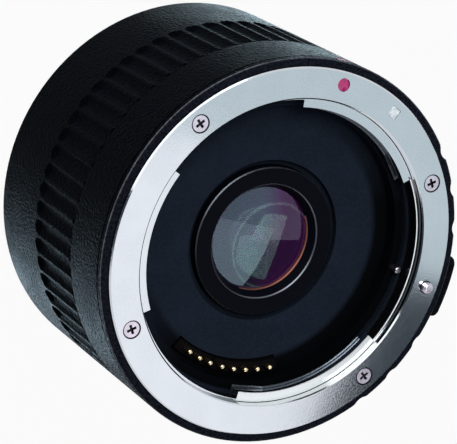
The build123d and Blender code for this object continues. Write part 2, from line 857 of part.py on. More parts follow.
def glass_spacer_3():
    """Thin ring between the last two elements."""
    inner = fourth_glass_r - glass_seat_w
    high = back_height(6, inner) - seat_gap
    low = front_height(7, inner) + seat_gap
    return tube(fourth_glass_r, inner, low, high)


def rear_retaining_ring():
    """Threaded ring behind the last element, with two spanner slots."""
    inner = rear_glass_r - rear_ring_w
    high = back_height(7, inner) - seat_gap
    ring = tube(rear_glass_r, inner, high - rear_ring_l, high)
    slot = Box(2 * rear_glass_r + overrun, spanner_slot_w, 2 * spanner_slot_depth)
    return ring - Pos(0, 0, high - rear_ring_l) * slot


def block_screw_angles():
    """Angles of the two screws through the front contact block's ears."""
    inset = block_ear_angle - block_screw_inset_angle
    return (block_start_angle - inset, block_end_angle + inset)


def block_foot_radii():
    """Outer and inner radius of the front contact block's foot."""
    return contact_circle_r + block_foot_w / 2, contact_circle_r - block_foot_w / 2


def front_contact_block():
    """Curved plastic block that guides the contact pins, lower on its left."""
    outer, inner = block_foot_radii()
    split = contact_angles()[contact_left_count] - (contact_pitch_angle + contact_group_angle) / 2
    body = sector(outer, inner, block_start_angle - block_ear_angle, block_end_angle + block_ear_angle,
                  z_block_foot, z_web_back)
    body += sector(contact_circle_r + block_w / 2, contact_circle_r - block_w / 2, block_start_angle, split,
                   z_web_back - overrun, z_front - block_left_depth)
    body += sector(contact_circle_r + block_w / 2, contact_circle_r - block_w / 2, split, block_end_angle,
                   z_web_back - overrun, z_front - block_right_depth)
    z_stop = z_block_foot + contact_spring_l + contact_collar_t
    for angle in contact_angles():
        body -= at(contact_circle_r, angle) * disc(contact_bore_r, z_stop - overrun, z_front)
        body -= at(contact_circle_r, angle) * disc(contact_spring_bore_r, z_block_foot - overrun, z_stop)
    for angle in block_screw_angles():
        body -= at(contact_circle_r, angle) * disc(inside_shank_r + slack, z_block_foot - overrun,
                                                   z_web_back + overrun)
    return body


def contact_pin(angle):
    """Sprung gold pin with a domed tip and a collar that stops it in its bore."""
    z_collar = z_block_foot + contact_spring_l
    pin = disc(contact_r, z_collar, z_contact_tip)
    pin = fillet(pin.edges().group_by(Axis.Z)[-1], contact_r * 0.8)
    pin += disc(contact_collar_r, z_collar, z_collar + contact_collar_t)
    return at(contact_circle_r, angle) * pin


def contact_spring(angle):
    """Spring under a contact pin, as a plain sleeve of its outer form."""
    return at(contact_circle_r, angle) * tube(contact_collar_r, contact_collar_r - contact_spring_wall,
                                              z_block_foot, z_block_foot + contact_spring_l)


def front_contact_cover():
    """Plate that closes the contact block's bores and presses the flex to them."""
    outer, inner = block_foot_radii()
    high = z_block_foot - flex_t
    cover = sector(outer, inner + flex_t, block_start_angle - block_ear_angle,
                   block_end_angle + block_ear_angle, high - cover_t, high)
    for angle in block_screw_angles():
        cover -= at(contact_circle_r, angle) * disc(inside_shank_r + slack, high - cover_t - overrun,
                                                    high + overrun)
    return cover


def contact_block_screws():
    """Two screws through the cover and the contact block into the web."""
    seat = z_block_foot - flex_t - cover_t
    screw = inside_screw(z_web_back - seat + inside_bite - seat_gap)
    return group([at(contact_circle_r, angle, seat) * screw for angle in block_screw_angles()])


def front_flex():
    """Flexible circuit from the contact springs down to the board."""
    outer, inner = block_foot_radii()
    middle = (block_start_angle + block_end_angle) / 2
    flat = sector(outer, inner, block_start_angle, block_end_angle, z_block_foot - flex_t, z_block_foot)
    strip = sector(inner + flex_t, inner, middle - front_flex_angle / 2, middle + front_flex_angle / 2,
                   board_z + board_t, z_block_foot)
    return flat + strip


def circuit_board():
    """Curved board on the chassis bosses, round the lens cell."""
    board = sector(board_out_r, board_in_r, board_start_angle, board_end_angle, board_z, board_z + board_t)
    for angle in boss_angles:
        board -= at(boss_circle_r, angle) * disc(inside_shank_r + slack, board_z - overrun,
                                                 board_z + board_t + overrun)
    return board


def control_chip():
    """Chip that counts the changed focal length, on the board's rear side."""
    return at(chip_circle_r, chip_angle, board_z - chip_t / 2) * Box(chip_w, chip_w, chip_t)


def board_screws():
    """Four screws that hold the board to the chassis bosses."""
    screw = inside_screw(board_t + inside_bite - seat_gap)
    return group([at(boss_circle_r, angle, board_z) * screw for angle in boss_angles])


def rear_flex():
    """Flexible circuit from the board down to the rear contact block."""
    start = (block_start_angle + block_end_angle - rear_flex_angle) / 2
    return sector(rear_flex_r + flex_t, rear_flex_r, start, start + rear_flex_angle,
                  z_rear_seat + rear_block_foot_t, board_z)


def rear_block_radii():
    """Outer and inner radius of the rear contact block inside the spigot."""
    outer = spigot_in_r - seat_gap
    return outer, outer - rear_block_w


def rear_block_notch():
    """Room in the chassis rear seat for the rear contact block's foot."""
    turn = math.degrees(slack / rear_block_foot_r)
    return sector(rear_block_foot_r + slack, rear_seat_r - overrun, block_start_angle - turn,
                  block_end_angle + turn, z_rear_seat - overrun, z_rear_seat + rear_block_foot_t)


def rear_pad_places():
    """Places of the flat contacts on the rear block's end face."""
    height = -(spigot_l - rear_block_short)
    return [at(rear_pad_circle_r, angle, height) for angle in contact_angles()]


def rear_contact_block():
    """Plastic block in the spigot, clamped by its foot between flange and chassis."""
    outer, inner = rear_block_radii()
    z_end = -(spigot_l - rear_block_short)
    z_foot_top = z_rear_seat + rear_block_foot_t
    body = sector(outer, inner, block_start_angle, block_end_angle, z_end, z_foot_top)
    body += sector(rear_block_foot_r, inner, block_start_angle, block_end_angle, z_rear_seat, z_foot_top)
    for place in rear_pad_places():
        body -= place * Box(pad_l, pad_w, 2 * (pad_t - pad_proud))
    return body


def rear_contact_pads():
    """Flat gold contacts set into the rear block."""
    pad = Pos(0, 0, pad_t / 2 - pad_proud) * Box(pad_l, pad_w, pad_t)
    return group([place * pad for place in rear_pad_places()])


def rear_mount():
    """Male bayonet: flange, thin spigot with a plain nose, and three lugs."""
    z_lug = -lug_front_depth - lug_t
    ring = turned((spigot_in_r, -spigot_l), (spigot_nose_r - spigot_bevel, -spigot_l),
                  (spigot_nose_r, spigot_bevel - spigot_l), (spigot_nose_r, z_lug), (spigot_r, z_lug),
                  (spigot_r, 0), (rear_flange_r - ring_bevel, 0), (rear_flange_r, ring_bevel),
                  (rear_flange_r, rear_flange_t), (spigot_in_r, rear_flange_t))
    for start, end in tab_spans:
        ring += sector(lug_r, spigot_r - slack, start + lug_start_angle, end - lug_end_angle,
                       z_lug, -lug_front_depth)
    for angle in rear_screw_angles:
        ring -= at(rear_screw_circle_r, angle) * Rot(180, 0, 0) * countersunk_hole(rear_screw_l)
    ring -= at(lock_circle_r, 0) * disc(lock_r + lock_hole_gap, -overrun, rear_flange_t + overrun)
    return ring


def rear_mount_screws():
    """Four countersunk screws that hold the rear ring to the chassis."""
    screw = Rot(180, 0, 0) * countersunk_screw(rear_screw_l)
    return group([at(rear_screw_circle_r, angle, mount_sink) * screw for angle in rear_screw_angles])


def rear_block_gap():
    """Room for the rear contact block in the liner and the baffle."""
    turn = math.degrees(slack / spigot_r)
    inner = rear_block_radii()[1] - slack
    return sector(rear_flange_r, inner, block_start_angle - turn, block_end_angle + turn,
                  -spigot_l - overrun, z_rear_seat + rear_baffle_rim_t + overrun)


def spigot_liner():
    """Matt tube in the spigot, with a rim clamped between flange and chassis and a ledge inside."""
    outer = spigot_in_r - seat_gap
    inner = outer - rear_baffle_wall
    ledge_r = inner - rear_baffle_ledge
    rim_r = rear_seat_r - seat_gap
    z_low = -(spigot_l - rear_liner_short)
    z_rim = z_rear_seat + rear_baffle_rim_t
    liner = turned((inner, z_low), (outer, z_low), (outer, z_rear_seat), (rim_r, z_rear_seat),
                   (rim_r, z_rim), (ledge_r, z_rim), (ledge_r, -rear_baffle_depth),
                   (inner, -rear_baffle_depth))
    return liner - rear_block_gap()


def rear_baffle():
    """Matt disc pressed up to the liner's ledge, with a tube that meets the lens cell."""
    outer = spigot_in_r - seat_gap - rear_baffle_wall - seat_gap
    tube_r = rear_baffle_r + rear_baffle_wall
    z_disc = -rear_baffle_depth - seat_gap
    z_tube = cell_end_z - seat_gap
    cup = turned((rear_baffle_r, z_disc - rear_baffle_t), (outer, z_disc - rear_baffle_t), (outer, z_disc),
                 (tube_r, z_disc), (tube_r, z_tube), (rear_baffle_r, z_tube))
    return cup - rear_block_gap()


def build():
    """Every node by name."""
    nodes = {
        "front_mount_ring": front_mount_ring(),
        "front_mount_screws": front_mount_screws(),
        "mount_leaf_spring": mount_leaf_spring(),
        "rotation_stop_pin": rotation_stop_pin(),
        "red_index_dot": red_index_dot(),
        "white_index_square": white_index_square(),
        "front_barrel": front_barrel(),
        "rear_barrel": rear_barrel(),
        "barrel_index_marks": barrel_index_marks(),
        "chassis": chassis(),
        "mount_spacer": mount_spacer(),
        "front_baffle": front_baffle(),
        "front_retaining_ring": front_retaining_ring(),
        "lens_cell": lens_cell(),
        "glass_spacer_1": glass_spacer_1(),
        "glass_spacer_2": glass_spacer_2(),
        "glass_spacer_3": glass_spacer_3(),
        "rear_retaining_ring": rear_retaining_ring(),
        "cell_screws": cell_screws(),
        "front_contact_block": front_contact_block(),
        "front_contact_cover": front_contact_cover(),
        "contact_block_screws": contact_block_screws(),
        "flex_circuits": group([front_flex(), rear_flex()]),
        "circuit_board": circuit_board(),
        "control_chip": control_chip(),
        "board_screws": board_screws(),
        "rear_contact_block": rear_contact_block(),
        "rear_contact_pads": rear_contact_pads(),
        "rear_mount": rear_mount(),
        "rear_mount_screws": rear_mount_screws(),
        "spigot_liner": spigot_liner(),
        "rear_baffle": rear_baffle(),
        "release_knob": release_knob(),
        "release_arm": release_arm(),
        "release_arm_screws": release_arm_screws(),
        "lock_pin": lock_pin(),
        "release_spring": release_spring(),
    }
    for number in range(1, len(glass_stack()) + 1):
        nodes[f"lens_element_{number}"] = lens_element(number)
    for number, angle in enumerate(contact_angles(), start=1):
        nodes[f"contact_pin_{number}"] = contact_pin(angle)
        nodes[f"contact_spring_{number}"] = contact_spring(angle)
    return nodes


os.makedirs("parts", exist_ok=True)
for name, shape in build().items():
    export_step(shape, f"parts/{name}.step")
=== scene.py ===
import math

import bpy
from bpy.props import FloatProperty, FloatVectorProperty, PointerProperty
from mathutils import Euler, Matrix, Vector


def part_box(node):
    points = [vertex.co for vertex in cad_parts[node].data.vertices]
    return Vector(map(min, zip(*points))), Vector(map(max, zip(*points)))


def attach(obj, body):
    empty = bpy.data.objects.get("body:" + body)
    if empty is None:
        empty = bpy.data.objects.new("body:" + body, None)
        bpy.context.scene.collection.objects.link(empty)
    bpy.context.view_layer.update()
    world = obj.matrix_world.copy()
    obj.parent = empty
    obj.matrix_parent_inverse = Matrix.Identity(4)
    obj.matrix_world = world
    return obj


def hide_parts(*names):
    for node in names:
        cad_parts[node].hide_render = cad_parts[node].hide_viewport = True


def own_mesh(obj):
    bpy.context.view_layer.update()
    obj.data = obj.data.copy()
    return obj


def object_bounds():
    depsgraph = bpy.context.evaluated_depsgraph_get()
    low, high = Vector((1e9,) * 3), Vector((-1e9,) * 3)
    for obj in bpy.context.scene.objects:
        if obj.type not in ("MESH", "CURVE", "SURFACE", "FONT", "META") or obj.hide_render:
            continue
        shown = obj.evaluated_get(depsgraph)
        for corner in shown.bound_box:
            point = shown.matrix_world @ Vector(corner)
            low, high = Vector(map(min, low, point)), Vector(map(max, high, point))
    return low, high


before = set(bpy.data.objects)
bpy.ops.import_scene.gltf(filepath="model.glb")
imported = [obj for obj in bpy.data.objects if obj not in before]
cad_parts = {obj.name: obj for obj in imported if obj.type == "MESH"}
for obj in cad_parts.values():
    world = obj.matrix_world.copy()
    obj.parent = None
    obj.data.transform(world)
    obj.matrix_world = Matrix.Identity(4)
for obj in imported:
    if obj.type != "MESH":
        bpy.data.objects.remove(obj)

bl_info = {
    "name": "Camera Teleconverter",
    "version": (1, 0, 0),
    "blender": (4, 5, 0),
    "location": "View3D > Sidebar > Teleconverter",
    "description": "Finishes and lights a bayonet teleconverter",
    "category": "Object",
}

CAD_BOX = [list(corner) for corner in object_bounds()]
PIN_COUNT = 8
BLACK = (0.0, 0.0, 0.0)
WHITE = (1.0, 1.0, 1.0)

# Keeps a place's X and Y and drops its height
ACROSS_AXIS = (1.0, 1.0, 0.0)

# Height of the front ring's face, read from the piece itself
FACE_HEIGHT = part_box("front_mount_ring")[1][2]

# Usual range of a noise texture, and the narrower one that makes its grains stand out
NOISE_RANGE = (0.3, 0.7)
GRAIN_RANGE = (0.35, 0.68)

# Screws in the front ring, with angles in degrees, the radius of the painted shade round their
# holes and the depth below the face where painted shade turns their recesses black
SCREW_CIRCLE = 0.0298
SCREW_ANGLES = (37.0, 143.0, 217.0, 323.0)
SCREW_HOLE_SHADE = 0.00164
RECESS_SHADE_DEPTH = 0.0003

# Tabs of the front ring, as spans of angle in degrees, and the painted highlight that makes the
# low one pale, with the share of it that is not metal
LOW_TAB = ((-88.0, -25.7),)
TAB_SPANS = ((41.0, 102.0), (159.6, 180.0), (-180.0, -145.5)) + LOW_TAB
TAB_HIGHLIGHT_COLOUR = (0.66, 0.69, 0.70)
TAB_HIGHLIGHT_NOT_METAL = 0.8

# Throat of the front ring: radii on both sides of its wall, the wall's top, the ledge that
# the tabs' faces make, how much of the wall is left without painted shade at it, and the tabs' edge
# under it
THROAT_RADIUS = 0.02705
WALL_RADIUS = 0.0265
WALL_TOP = FACE_HEIGHT - 0.00022
LEDGE_HEIGHT = FACE_HEIGHT - 0.0014
LEDGE_SKIN = 0.00004
TAB_EDGE = 0.0002

# Painted shade in the corner where a tab meets the wall
CORNER_SHADE_REACH = 0.0004
CORNER_SHADE_HEIGHT = 0.00016

# Painted highlight along the edge of the ledge between two tabs: its span in degrees, half its
# height, its radii and its colour
LIP_SPANS = ((-27.0, 41.0),)
LIP_SKIN = 0.00006
LIP_RADII = (WALL_RADIUS + 0.00005, WALL_RADIUS + 0.0003)
LIP_HIGHLIGHT_COLOUR = (0.85, 0.88, 0.90)

# Collar of the front barrel: its depth below the barrel's end, and how far in from the rim
# the painted highlight along its edge starts, is full and begins to fade
COLLAR_DEPTH = 0.0003
HIGHLIGHT_START = 0.00025
HIGHLIGHT_FULL = 0.0001
HIGHLIGHT_FADE = 0.00004

# Depth of the painted shade, in black, on the edge where the two barrels meet
SEAM_SHADE_DEPTH = 0.0001

# Size and height of the knob's grain as shares of the barrel's crinkle
KNOB_GRAIN = 0.6
KNOB_HEIGHT = 0.4

# Painted shade on part of the throat lining: where it starts and how soon it is full, its middle
# angle and its reach to each side, the share of that before it fades, and how black it is
LINING_SHADE_RADIUS = 0.0212
LINING_SHADE_FADE = 0.0012
LINING_SHADE_MIDDLE = math.radians(-42.0)
LINING_SHADE_REACH = math.radians(118.0)
LINING_SHADE_EVEN = 0.6
LINING_SHADE_SHARE = 0.92

# Nose ring: radii of its mouth and glass seat, a small allowance on its faces, its bevels,
# and the bare metal that shows there and the copper-coloured painted reflection on part of the seat
NOSE_MOUTH = 0.0103
NOSE_SEAT = 0.00915
NOSE_SKIN = 0.00001
BEVEL_HEIGHT = 0.00019
BEVEL_WIDTH = 0.00022
SEAT_WIDTH = 0.00013
SEAT_SPANS = ((-95.0, 38.0),)
BARE_COLOUR = (0.15, 0.165, 0.19)
COPPER_REFLECTION_COLOUR = (0.50, 0.20, 0.13)

# Front element: direction and range over which its coating turns to the side tint, a painted
# purple reflection, and the share of the side's painted glow on the other half
SIDE_TURN = (0.97, 0.2)
SIDE_RANGE = (-0.0005, 0.0035)
PAINTED_GLOW_SHARE = 0.4

# Facets of the springs' coils
WIRE_FACETS = 10
TURN_FACETS = 24
END_TURN_FACETS = 32

# A wave texture at a scale of one repeats over this many metres
WAVE_PITCH = math.tau / 20.0

# Pitch of the turning marks on the anodised parts
ANODISED_TURNING = 0.0004488

# Camera at the photograph's place, with its turn in degrees
CAMERA_PLACE = (-0.217859, 0.064498, 0.372894)
CAMERA_TURN = (-19.36874, -27.26678, 20.87029)

# Floor and room light, and how white the floor looks to the camera
FLOOR_COLOUR = (0.6, 0.6, 0.6)
FLOOR_SEEN = 0.95
FLOOR_SIDES = 96
ROOM_COLOUR = (0.6, 0.8, 1.0)

# Way that a lamp faces before it is turned, and the far low lamp's share of the low lamps' power
DOWN = (0.0, 0.0, -1.0)
FAR_LOW_SHARE = 0.6


def colour_property(name, text, colour):
    """A colour that the panel can change."""
    return FloatVectorProperty(name=name, description=text, subtype="COLOR", size=3,
                               min=0.0, max=1.0, default=colour)


def length_property(name, text, metres):
    """A length that the panel can change."""
    return FloatProperty(name=name, description=text, subtype="DISTANCE", unit="LENGTH",
                         min=0.0, precision=5, default=metres)


def factor_property(name, text, value, high=1.0):
    """A share that the panel can change."""
    return FloatProperty(name=name, description=text, subtype="FACTOR", min=0.0, max=high,
                         default=value)


def power_property(name, text, watts):
    """A lamp's power that the panel can change."""
    return FloatProperty(name=name, description=text, unit="POWER", min=0.0, default=watts)


def number_property(name, text, value, high=1000.0):
    """A number from one upwards that the panel can change."""
    return FloatProperty(name=name, description=text, min=1.0, max=high, default=value)


class PaintSettings(bpy.types.PropertyGroup):
    """Black paint and plastics."""

    barrel: colour_property("Barrel", "Crinkle paint on the barrel", (0.0009, 0.0012, 0.0021))
    collar: colour_property("Collar", "Front face of the barrel", (0.0058, 0.0068, 0.0105))
    # The collar's edge colour is a painted highlight along the edge of the front face
    collar_highlight: colour_property("Collar edge", "Worn edge of the front face", (0.09, 0.10, 0.115))
    knob: colour_property("Knob", "Release knob plastic", (0.003, 0.003, 0.004))
    baffle: colour_property("Baffle", "Matt throat lining", (0.0072, 0.0106, 0.0178))
    cell: colour_property("Cell", "Anodised lens cell", (0.0015, 0.002, 0.004))
    # The spacers' purple is a painted reflection, standing in for the purple seen inside the lens
    spacer: colour_property("Spacers", "Anodised spacers between lenses", (0.05, 0.004, 0.06))
    contact_plastic: colour_property("Contact block", "Block plastic", (0.002, 0.0016, 0.002))
    crinkle: length_property("Crinkle", "Size of the paint's crinkle", 0.0005)
    crinkle_height: length_property("Crinkle height", "Height of the crinkle", 0.00011)


class MetalSettings(bpy.types.PropertyGroup):
    """Bare and plated metals."""

    ring: colour_property("Bayonet", "Satin bayonet metal", (0.63, 0.67, 0.71))
    # Colour of the painted shade on the throat wall
    wall: colour_property("Throat wall", "Blackened wall in the throat", (0.002, 0.0025, 0.003))
    screw: colour_property("Screws", "Bright screws and lock pin", (0.80, 0.74, 0.84))
    leaf: colour_property("Leaf spring", "Blued steel of the leaf spring", (0.12, 0.135, 0.155))
    spring: colour_property("Springs", "Spring steel", (0.20, 0.23, 0.26))
    gold: colour_property("Contacts", "Gold-plated contacts", (0.95, 0.78, 0.5))
    turning: length_property("Turning", "Pitch of the ring's turning marks", 0.000754)
    satin: factor_property("Satin", "Roughness of the bayonet metal", 0.09)


class SpringSettings(bpy.types.PropertyGroup):
    """Coil springs."""

    contact_wire: length_property("Contact wire", "Wire under the contact pins", 0.00022)
    contact_turns: number_property("Contact turns", "Open turns under a contact pin", 5.0)
    release_wire: length_property("Release wire", "Wire under the release arm", 0.0003)
    release_turns: number_property("Release turns", "Open turns under the release arm", 3.0)


class GlassSettings(bpy.types.PropertyGroup):
    """Coated lens elements."""

    front: colour_property("Front coating", "Tint of the front element", (0.36, 0.88, 1.0))
    # The side coating is a painted reflection, in purple, on one side of the front element
    side: colour_property("Side coating", "Front element's tint at one side", (0.30, 0.06, 0.38))
    # The side glow is a painted glow: the glass glows with no lamp behind it
    glow: colour_property("Side glow", "Front element's glow at that side", (0.0085, 0.0, 0.011))
    green: colour_property("Inner coating", "Tint of the second element", (0.10, 0.95, 0.25))
    amber: colour_property("Middle coating", "Tint of the fourth element", (0.95, 0.45, 0.25))
    magenta: colour_property("Rear coating", "Tint of the other elements", (0.75, 0.06, 0.85))
    body: colour_property("Body", "Body tint of the front glass", (0.95, 0.95, 0.97))
    rear_body: colour_property("Rear body", "Body tint of the rear glass", (0.50, 0.16, 0.60))
    index: number_property("Index", "Refractive index of the glass", 1.62, 2.5)
    front_index: number_property("Front index", "Index of the front element", 1.72, 2.5)


class MarkSettings(bpy.types.PropertyGroup):
    """Index marks and the inside circuit."""

    red: colour_property("Red", "Round index marks", (0.34, 0.002, 0.10))
    white: colour_property("White", "Square index", (0.52, 0.57, 0.60))
    board: colour_property("Board", "Circuit board", (0.01, 0.07, 0.03))
    film: colour_property("Film", "Flexible circuit", (0.36, 0.15, 0.03))


class StageSettings(bpy.types.PropertyGroup):
    """Floor, lamps and camera."""

    floor_size: length_property("Floor", "Width of the round floor", 6.0)
    floor_drop: length_property("Drop", "How far the floor lies below the part", 0.45)
    wall_height: length_property("Wall", "Height of the backdrop round the floor", 1.9)
    key_power: power_property("Key lamp", "Power of the lamp over the near side", 0.113)
    cool_power: power_property("Cool lamp", "Power of the cool overhead lamp", 0.2)
    fill_power: power_property("Fill lamp", "Power of the lamp behind the camera", 5.0)
    low_power: power_property("Low lamps", "Power of the nearer lamp under the part", 1.05)
    edge_power: power_property("Edge lamp", "Power of the lamp at the upper left", 0.45)
    room: factor_property("Room light", "Strength of the even light all round", 0.06, 2.0)
    lens: number_property("Focal length", "Camera focal length in millimetres", 187.39)


def deselect_all():
    """Leave nothing selected."""
    bpy.ops.object.select_all(action="DESELECT")


def put_material(material, *names):
    """Give these CAD nodes one material all over."""
    for name in names:
        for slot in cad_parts[name].material_slots:
            slot.material = material


def new_material(name, colour, roughness, metallic=0.0):
    """A new material and its Principled shader."""
    material = bpy.data.materials.new(name)
    material.use_nodes = True
    shader = material.node_tree.nodes["Principled BSDF"]
    shader.inputs["Base Color"].default_value = (*colour, 1.0)
    shader.inputs["Roughness"].default_value = roughness
    shader.inputs["Metallic"].default_value = metallic
    return material, shader


def add_node(material, kind, **settings):
    """A new shader node with its properties set."""
    node = material.node_tree.nodes.new(kind)
    for name, value in settings.items():
        setattr(node, name, value)
    return node


def connect(material, output, target):
    """Link one socket to another."""
    material.node_tree.links.new(output, target)


def object_place(material):
    """The socket that gives a point's place in the object's own frame."""
    return add_node(material, "ShaderNodeTexCoord").outputs["Object"]


def noise(material, place, size, detail=3.0):
    """Noise whose features are about this many metres across."""
    node = add_node(material, "ShaderNodeTexNoise")
    node.inputs["Scale"].default_value = 1.0 / size
    node.inputs["Detail"].default_value = detail
    connect(material, place, node.inputs["Vector"])
    return node.outputs["Fac"]


def spread(material, value, low, high, new_low=0.0, new_high=1.0):
    """Map one range of values to another, clamped."""
    node = add_node(material, "ShaderNodeMapRange")
    node.inputs["From Min"].default_value = low
    node.inputs["From Max"].default_value = high
    node.inputs["To Min"].default_value = new_low
    node.inputs["To Max"].default_value = new_high
    connect(material, value, node.inputs["Value"])
    return node.outputs["Result"]


def calculate(material, operation, first, second):
    """One step of arithmetic on two sockets or numbers."""
    node = add_node(material, "ShaderNodeMath", operation=operation)
    for index, value in enumerate((first, second)):
        if isinstance(value, (int, float)):
            node.inputs[index].default_value = value
        else:
            connect(material, value, node.inputs[index])
    return node.outputs["Value"]


def above(material, value, limit):
    """1 where a value is over a limit."""
    return calculate(material, "GREATER_THAN", value, limit)


def below(material, value, limit):
    """1 where a value is under a limit."""
    return calculate(material, "LESS_THAN", value, limit)


def between(material, value, low, high):
    """1 where a value lies between two limits."""
    return product(material, above(material, value, low), below(material, value, high))


def gap_to(material, value, level):
    """How far a value lies from a level, to either side."""
    return calculate(material, "ABSOLUTE", calculate(material, "SUBTRACT", value, level), 0.0)


def product(material, first, *others):
    """These sockets or numbers multiplied together."""
    for factor in others:
        first = calculate(material, "MULTIPLY", first, factor)
    return first


def largest(material, first, *others):
    """The largest of these sockets or numbers."""
    for value in others:
        first = calculate(material, "MAXIMUM", first, value)
    return first


def blend_colour(material, factor, first, second):
    """Mix two colours, each a socket or three numbers."""
    node = add_node(material, "ShaderNodeMix", data_type="RGBA")
    connect(material, factor, node.inputs["Factor"])
    for socket, value in ((node.inputs[6], first), (node.inputs[7], second)):
        if isinstance(value, bpy.types.NodeSocket):
            connect(material, value, socket)
        else:
            socket.default_value = (*value, 1.0)
    return node.outputs[2]


def add_bump(material, shader, height, distance, under=None):
    """Raise the surface by a height texture, over an earlier bump if one is given."""
    node = add_node(material, "ShaderNodeBump")
    node.inputs["Distance"].default_value = distance
    connect(material, height, node.inputs["Height"])
    if under is not None:
        connect(material, under, node.inputs["Normal"])
    connect(material, node.outputs["Normal"], shader.inputs["Normal"])
    return node.outputs["Normal"]


def tinted(colour, share):
    """The same colour, lighter or darker."""
    return tuple(min(1.0, part * share) for part in colour)


def mottled(material, mask, colour, dark, light):
    """A colour that varies between two shares of itself."""
    return blend_colour(material, mask, tinted(colour, dark), tinted(colour, light))


def uneven(material, shader, value, low, high):
    """Let the shader's roughness follow a noise between two limits."""
    rough = spread(material, value, *NOISE_RANGE, low, high)
    connect(material, rough, shader.inputs["Roughness"])


def split_place(material, place):
    """A place's three coordinates."""
    parts = add_node(material, "ShaderNodeSeparateXYZ")
    connect(material, place, parts.inputs["Vector"])
    return parts.outputs["X"], parts.outputs["Y"], parts.outputs["Z"]


def radius_and_height(material, place):
    """Distance from the optical axis, and height along it."""
    along_x, along_y, height = split_place(material, place)
    flat = add_node(material, "ShaderNodeCombineXYZ")
    connect(material, along_x, flat.inputs["X"])
    connect(material, along_y, flat.inputs["Y"])
    length = add_node(material, "ShaderNodeVectorMath", operation="LENGTH")
    connect(material, flat.outputs["Vector"], length.inputs[0])
    return length.outputs["Value"], height


def angle_about_axis(material, place):
    """The angle about the optical axis, in radians either way from +X."""
    along_x, along_y = split_place(material, place)[:2]
    return calculate(material, "ARCTAN2", along_y, along_x)


def in_spans(material, place, spans):
    """1 where the angle about the optical axis lies in one of these spans, in degrees."""
    angle = angle_about_axis(material, place)
    total = 0.0
    for start, end in spans:
        inside = between(material, angle, math.radians(start), math.radians(end))
        total = calculate(material, "ADD", inside, total)
    return total


def turning_marks(material, value, pitch):
    """Fine bands across a value, as a lathe leaves them."""
    bands = add_node(material, "ShaderNodeTexWave", wave_type="BANDS", bands_direction="X",
                     wave_profile="SIN")
    bands.inputs["Scale"].default_value = WAVE_PITCH / pitch
    across = add_node(material, "ShaderNodeCombineXYZ")
    connect(material, value, across.inputs["X"])
    connect(material, across.outputs["Vector"], bands.inputs["Vector"])
    return bands.outputs["Fac"]


def collar_finish(material, place, shade, grains, collar):
    """The paint's colour with the paler collar and the painted highlight along its edge laid over it.
    """
    face_height, rim, face_colour, highlight_colour = collar
    radius, height = radius_and_height(material, place)
    on_face = above(material, height, face_height)
    face = mottled(material, grains, face_colour, 0.55, 1.6)
    shade = blend_colour(material, on_face, shade, face)
    at_edge = spread(material, radius, rim - HIGHLIGHT_START, rim - HIGHLIGHT_FULL)
    past_edge = spread(material, radius, rim - HIGHLIGHT_FADE, rim, 1.0, 0.0)
    painted_edge_highlight = mottled(material, grains, highlight_colour, 0.6, 1.3)
    return blend_colour(material, product(material, at_edge, past_edge, on_face), shade, painted_edge_highlight)


def crinkle_paint(name, colour, size, height, collar=None, seam_shade_height=None):
    """Black crinkle paint, with a collar and a painted highlight on its edge, or painted shade in
    black on the seam edge, where one is given.
    """
    material, shader = new_material(name, colour, roughness=0.5)
    shader.inputs["Specular IOR Level"].default_value = 0.002
    shader.inputs["Sheen Weight"].default_value = 0.02
    shader.inputs["Sheen Roughness"].default_value = 0.35
    shader.inputs["Sheen Tint"].default_value = (0.55, 0.8, 1.0, 1.0)
    place = object_place(material)
    fine = noise(material, place, size, detail=2.0)
    broad = noise(material, place, size=size * 14.0)
    grains = spread(material, fine, *GRAIN_RANGE)
    shade = mottled(material, grains, colour, 0.35, 2.2)
    clouds = spread(material, broad, 0.35, 0.7, 0.0, 0.35)
    shade = blend_colour(material, clouds, shade, tinted(colour, 2.2))
    if collar is not None:
        shade = collar_finish(material, place, shade, grains, collar)
    if seam_shade_height is not None:
        painted_seam_shade = above(material, split_place(material, place)[2], seam_shade_height)
        shade = blend_colour(material, painted_seam_shade, shade, BLACK)
    connect(material, shade, shader.inputs["Base Color"])
    fine_rough = spread(material, fine, *NOISE_RANGE, 0.3, 0.5)
    broad_rough = spread(material, broad, *NOISE_RANGE, -0.03, 0.05)
    rough = calculate(material, "ADD", fine_rough, broad_rough)
    connect(material, rough, shader.inputs["Roughness"])
    add_bump(material, shader, grains, height)
    return material


class TELECON_OT_paint_barrels(bpy.types.Operator):
    """Crinkle paint on both barrels and a finer grain on the release knob"""

    bl_idname = "telecon.paint_barrels"
    bl_label = "Paint Barrels"

    def execute(self, context):
        paint = context.scene.telecon_paint
        black = tuple(paint.barrel)
        size = paint.crinkle
        height = paint.crinkle_height
        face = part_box("front_barrel")[1][2] - COLLAR_DEPTH
        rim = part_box("rear_barrel")[1][0]
        collar = (face, rim, tuple(paint.collar), tuple(paint.collar_highlight))
        front = crinkle_paint("barrel_crinkle", black, size, height, collar=collar)
        put_material(front, "front_barrel")
        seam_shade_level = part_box("rear_barrel")[1][2] - SEAM_SHADE_DEPTH
        rear = crinkle_paint("rear_crinkle", black, size, height, seam_shade_height=seam_shade_level)
        put_material(rear, "rear_barrel")
        knob = crinkle_paint("knob_grain", tuple(paint.knob), size * KNOB_GRAIN, height * KNOB_HEIGHT)
        put_material(knob, "release_knob")
        return {"FINISHED"}


def near_screws(material, place, reach):
    """1 where a point lies within reach of a ring screw, seen along the optical axis."""
    flat = add_node(material, "ShaderNodeVectorMath", operation="MULTIPLY")
    flat.inputs[1].default_value = ACROSS_AXIS
    connect(material, place, flat.inputs[0])
    total = 0.0
    for angle in SCREW_ANGLES:
        turn = math.radians(angle)
        centre = (SCREW_CIRCLE * math.cos(turn), SCREW_CIRCLE * math.sin(turn), 0.0)
        apart = add_node(material, "ShaderNodeVectorMath", operation="DISTANCE")
        apart.inputs[1].default_value = centre
        connect(material, flat.outputs["Vector"], apart.inputs[0])
        total = calculate(material, "ADD", below(material, apart.outputs["Value"], reach), total)
    return total


